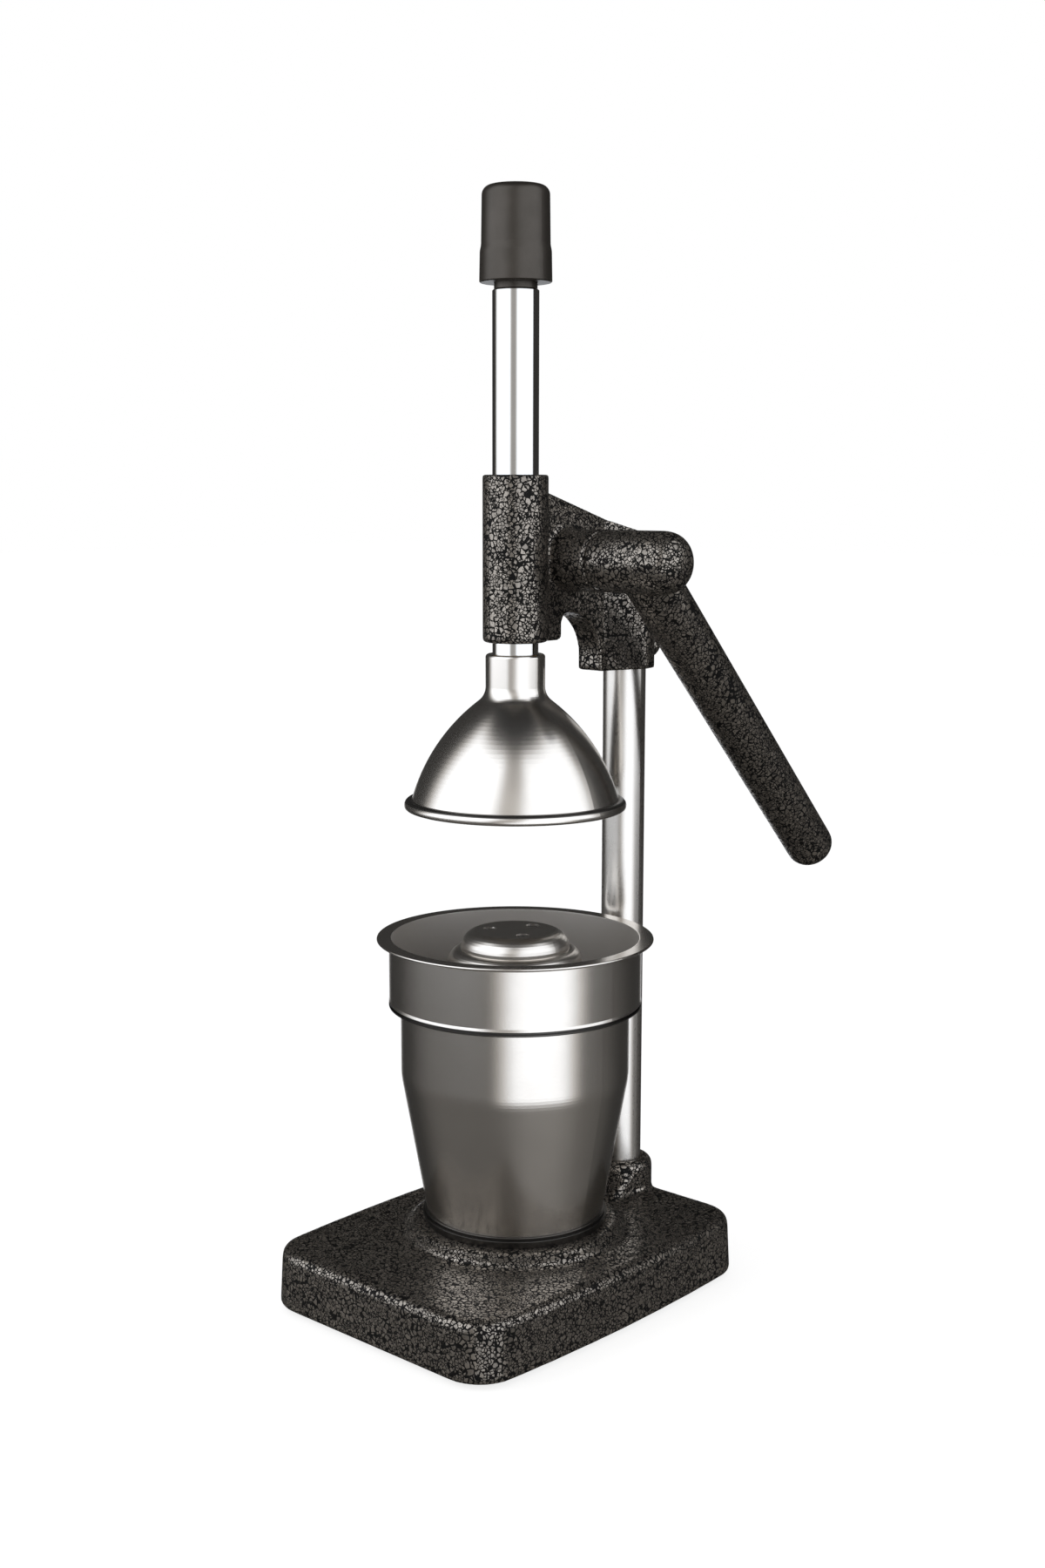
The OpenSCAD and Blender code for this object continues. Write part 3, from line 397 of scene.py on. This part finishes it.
# Dark satin paint of the cap, and rubber: a plain colour with fine grain, a little lighter in places
def makeMatte(name, s):
    material, tree = newTree(name)
    place = objectPlace(tree)
    cloud = noiseLevel(tree, place, s["cloudScale"], 3)
    grain = noiseLevel(tree, place, s["grainScale"])
    rough = mixValue(tree, grain, s["roughness"] - s["roughSpread"], s["roughness"] + s["roughSpread"])
    shader = add(tree, "ShaderNodeBsdfPrincipled", {}, {
        "Base Color": mixColor(tree, ramp(tree, cloud, *s["cloudLimits"]), s["dark"], s["light"]),
        "Metallic": s["metallic"],
        "Roughness": rough,
        "Specular IOR Level": s["specular"],
        "Normal": relief(tree, calc(tree, "MULTIPLY", grain, s["grainDepth"])),
    })
    finishMaterial(tree, shader.outputs[0])
    return material


capPaint = {
    "dark": (0.066, 0.057, 0.047, 1),
    "light": (0.080, 0.069, 0.058, 1),
    "cloudScale": 60,
    "cloudLimits": (0.35, 0.7),
    "grainScale": 2400,
    "grainDepth": 0.012 * mm,
    "metallic": 0.55,
    "roughness": 0.37,
    "roughSpread": 0.04,
    "specular": 0.3,
}

footRubber = {
    "dark": (0.018, 0.018, 0.018, 1),
    "light": (0.030, 0.030, 0.029, 1),
    "cloudScale": 140,
    "cloudLimits": (0.35, 0.7),
    "grainScale": 1400,
    "grainDepth": 0.03 * mm,
    "metallic": 0.0,
    "roughness": 0.75,
    "roughSpread": 0.04,
    "specular": 0.3,
}


# Finishes go by slot, and the nodes of ownFinish have one of their own
ownFinish = {
    "column_bar": "drawnSteel",
    "press_bell": "bellSteel",
    "hopper": "hopperSteel",
    "reamer_dome": "reamerSteel",
    "receiver_cup": "cupSteel",
}


def makeMaterials():
    made = {
        "paint": makeHammertone("hammertoneEnamel"),
        "bellSteel": makeSteel("bellSteel", bellSteel),
        "reamerSteel": makeSteel("reamerSteel", reamerSteel),
        "cupSteel": makeSteel("cupSteel", cupSteel),
        "hopperSteel": makeSteel("hopperSteel", hopperSteel),
        "drawnSteel": makeSteel("drawnSteel", drawnSteel),
        "bright_steel": makeSteel("brightSteel", brightSteel),
        "gear_steel": makeSteel("gearSteel", gearSteel),
        "screw_steel": makeSteel("blackSteel", blackSteel),
        "bronze": makeSteel("bushBronze", bushBronze),
        "cap_metal": makeMatte("capPaint", capPaint),
        "rubber": makeMatte("footRubber", footRubber),
    }
    print("materials:", len(made))
    return made


def setMaterial(piece, material):
    if not piece.material_slots:
        piece.data.materials.append(material)
    for slot in piece.material_slots:
        slot.material = material


def dressNodes(materials):
    slotOf = {part["node"]: part["material_slot"] for part in frame["record"]["subparts"]}
    for name, piece in nodes.items():
        setMaterial(piece, materials[ownFinish.get(name, slotOf[name])])
    print("dressed nodes:", len(nodes))


# Castings: the solid's form with the round edges and filled corners that sand casting leaves
castings = {
    "base_casting": {"voxel": 1.1 * mm, "passes": 7, "body": "frame"},
    "head_casting": {"voxel": 0.75 * mm, "passes": 5, "body": "frame"},
    "lever_handle": {"voxel": 0.75 * mm, "passes": 6, "body": "lever"},
}
passStrength = 0.5  # of each smoothing pass


def makeCasting(nodeName, s, material):
    mesh = nodes[nodeName].data.copy()
    mesh.name = nodeName + "Cast"
    piece = bpy.data.objects.new(nodeName + "_cast", mesh)
    bpy.context.scene.collection.objects.link(piece)
    remesh = piece.modifiers.new("grow", "REMESH")
    remesh.mode = "VOXEL"
    remesh.voxel_size = s["voxel"]
    smooth = piece.modifiers.new("soften", "SMOOTH")
    smooth.factor = passStrength
    smooth.iterations = s["passes"]
    graph = bpy.context.evaluated_depsgraph_get()
    finished = bpy.data.meshes.new_from_object(piece.evaluated_get(graph))
    piece.modifiers.clear()
    piece.data = finished
    bpy.data.meshes.remove(mesh)
    for face in finished.polygons:
        face.use_smooth = True
    finished.materials.clear()
    finished.materials.append(material)
    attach(piece, s["body"])
    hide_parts(nodeName)
    print("casting:", nodeName, len(finished.polygons), "faces")


# Camera of the photograph: place, turn and lens worked out from its perspective
camera = {
    "place": (0.59105, -0.64247, 0.37545),
    "azimuth": 42.872,
    "down": 8.724,
    "lens": 44.50,
    "filmHeight": 36,
    "shiftX": 0.01346,
    "near": 0.01,
    "far": 60,
}


def makeCamera():
    data = bpy.data.cameras.new("camera")
    data.sensor_fit = "VERTICAL"
    data.sensor_height = camera["filmHeight"]
    data.lens = camera["lens"]
    data.shift_x = camera["shiftX"]
    data.clip_start = camera["near"]
    data.clip_end = camera["far"]
    view = bpy.data.objects.new("camera", data)
    view.location = camera["place"]
    view.rotation_euler = (math.radians(90 - camera["down"]), 0, math.radians(camera["azimuth"]))
    bpy.context.scene.collection.objects.link(view)
    bpy.context.scene.camera = view
    print("camera: lens", camera["lens"])


# World: even light on the pieces, plain white where it is seen itself
worldLight = {
    "strength": 0.36,
    "seenStrength": 1.0,
}
white = (1, 1, 1, 1)


def makeWorld():
    world = bpy.data.worlds.new("studioWorld")
    world.use_nodes = True
    tree = world.node_tree
    tree.nodes.clear()
    path = add(tree, "ShaderNodeLightPath")
    seen = calc(tree, "MAXIMUM", path.outputs["Is Camera Ray"], path.outputs["Is Glossy Ray"])
    seen = calc(tree, "MAXIMUM", seen, path.outputs["Is Transmission Ray"])
    strength = mixValue(tree, seen, worldLight["strength"], worldLight["seenStrength"])
    back = add(tree, "ShaderNodeBackground", {}, {"Color": white, "Strength": strength})
    output = tree.nodes.new("ShaderNodeOutputWorld")
    tree.links.new(back.outputs[0], output.inputs["Surface"])
    bpy.context.scene.world = world


# Floor: grey with a glow for the camera, so that it comes out pale, and clear in reflections
floorPaint = {
    "half": 9.0,
    "pale": (0.80, 0.80, 0.80, 1),
    "shade": (0.62, 0.62, 0.62, 1),
    "lift": 0.81,
}


def makeFloor():
    material, tree = newTree("floorPaint")
    path = add(tree, "ShaderNodeLightPath")
    pale = add(tree, "ShaderNodeBsdfDiffuse", {}, {"Color": floorPaint["pale"]})
    shaded = add(tree, "ShaderNodeBsdfDiffuse", {}, {"Color": floorPaint["shade"]})
    lift = add(tree, "ShaderNodeEmission", {}, {"Color": white, "Strength": floorPaint["lift"]})
    seenFloor = add(tree, "ShaderNodeAddShader", {}, {0: shaded.outputs[0], 1: lift.outputs[0]})
    byCamera = add(tree, "ShaderNodeMixShader", {}, {
        0: path.outputs["Is Camera Ray"], 1: pale.outputs[0], 2: seenFloor.outputs[0],
    })
    clear = add(tree, "ShaderNodeBsdfTransparent")
    mirrored = calc(tree, "MAXIMUM", path.outputs["Is Glossy Ray"], path.outputs["Is Transmission Ray"])
    shader = add(tree, "ShaderNodeMixShader", {}, {0: mirrored, 1: byCamera.outputs[0], 2: clear.outputs[0]})
    finishMaterial(tree, shader.outputs[0])
    half = floorPaint["half"]
    mesh = bpy.data.meshes.new("floor")
    corners = [(-half, -half, 0), (half, -half, 0), (half, half, 0), (-half, half, 0)]
    mesh.from_pydata(corners, [], [(0, 1, 2, 3)])
    mesh.materials.append(material)
    floor = bpy.data.objects.new("floor", mesh)
    bpy.context.scene.collection.objects.link(floor)


# Dome: a faint glow with soft boxes, which only reflections see
domeForm = {
    "radius": 4.0,
    "centre": (0, 0.03, 0.25),
    "segments": 96,
    "rings": 48,
    "dark": 0.045,
    "top": 0.018,
    "topLimits": (35, 75),
    "skew": 0.2,  # boxes lean to the right by this share of their height, up to skewTop
    "skewTop": 45,
    "dimTint": (1.0, 0.985, 0.965, 1),
    "brightTint": (1.0, 1.06, 1.15, 1),
    "tintLimits": (0.6, 1.5),
}

# Angles in degrees: across counts to the right from the camera's side, up from the horizon.
# A box's light starts at the first, is full from the second to the third and ends at the fourth.
boxes = {
    "left": {"across": (-124, -96, -37, -20), "up": (-10.5, -6, 51, 66), "level": 1.95},
    "right": {"across": (-5, 11, 79, 100), "up": (-10, -5, 52, 66), "level": 1.75},
    "low": {"across": (-26, 5, 42, 72), "up": (-30, -22, -10, -5), "level": 1.75},
    "gap": {"across": (-39, -22, -5, 11), "up": (-14, -6, 52, 68), "level": 0.45},
    "gapGlow": {"across": (-39, -22, -5, 11), "up": (8, 20, 30, 44), "level": 0.22},
    "floorGlow": {"across": (-135, -85, 85, 135), "up": (-90, -89, -18, -11), "level": 0.11},
    "rightGlow": {"across": (-20, 20, 40, 90), "up": (-60, -40, -30, -18), "level": 0.10},
}
backBox = {"across": (158, 170), "up": (-36, -28, -7, -3), "level": 1.2}  # behind, the same to both sides


def makeDome():
    material, tree = newTree("softBoxes")
    x, y, z = add(tree, "ShaderNodeSeparateXYZ", {}, {0: objectPlace(tree)}).outputs
    across = calc(tree, "DEGREES", calc(tree, "ARCTAN2", y, x))
    level = calc(tree, "SQRT", calc(tree, "ADD", calc(tree, "MULTIPLY", x, x), calc(tree, "MULTIPLY", y, y)))
    up = calc(tree, "DEGREES", calc(tree, "ARCTAN2", z, level))
    raised = calc(tree, "MINIMUM", calc(tree, "MAXIMUM", up, 0), domeForm["skewTop"])
    across = calc(tree, "SUBTRACT", across, calc(tree, "MULTIPLY", raised, domeForm["skew"]))
    light = ramp(tree, up, *domeForm["topLimits"], domeForm["dark"], domeForm["top"])
    for s in boxes.values():
        inBox = calc(tree, "MULTIPLY", between(tree, across, *s["across"]), between(tree, up, *s["up"]))
        light = calc(tree, "ADD", light, calc(tree, "MULTIPLY", inBox, s["level"]))
    behind = ramp(tree, calc(tree, "ABSOLUTE", across), *backBox["across"])
    inBox = calc(tree, "MULTIPLY", behind, between(tree, up, *backBox["up"]))
    light = calc(tree, "ADD", light, calc(tree, "MULTIPLY", inBox, backBox["level"]))
    bright = ramp(tree, light, *domeForm["tintLimits"])
    tint = mixColor(tree, bright, domeForm["dimTint"], domeForm["brightTint"])
    glow = add(tree, "ShaderNodeEmission", {}, {"Color": tint, "Strength": light})
    finishMaterial(tree, glow.outputs[0])
    form = bmesh.new()
    bmesh.ops.create_uvsphere(
        form, u_segments=domeForm["segments"], v_segments=domeForm["rings"], radius=domeForm["radius"],
    )
    mesh = bpy.data.meshes.new("softBoxDome")
    form.to_mesh(mesh)
    form.free()
    mesh.materials.append(material)
    dome = bpy.data.objects.new("softBoxDome", mesh)
    dome.location = domeForm["centre"]
    dome.rotation_euler = (0, 0, math.radians(camera["azimuth"] - 90))  # its x axis points to the camera
    bpy.context.scene.collection.objects.link(dome)
    dome.visible_camera = False
    dome.visible_diffuse = False
    dome.visible_shadow = False
    dome.visible_transmission = False
    dome.visible_volume_scatter = False
    print("dome:", len(boxes) + 1, "soft boxes")


# Key lamp: soft light from high on the left, unseen in reflections
keyLamp = {
    "power": 9.0,
    "size": 1.6,
    "place": (-1.2, -1.9, 2.2),
    "aim": (0, 0, 0.2),
}


def makeKey():
    data = bpy.data.lights.new("softKey", "AREA")
    data.size = keyLamp["size"]
    data.energy = keyLamp["power"]
    lamp = bpy.data.objects.new("softKey", data)
    lamp.location = keyLamp["place"]
    aim = Vector(keyLamp["aim"]) - Vector(keyLamp["place"])
    lamp.rotation_euler = aim.to_track_quat("-Z", "Y").to_euler()
    lamp.visible_glossy = False
    bpy.context.scene.collection.objects.link(lamp)


makeCamera()
materials = makeMaterials()
dressNodes(materials)
for nodeName, settings in castings.items():
    makeCasting(nodeName, settings, materials["paint"])
makeWorld()
makeFloor()
makeDome()
makeKey()
bpy.context.scene.view_settings.view_transform = "Standard"
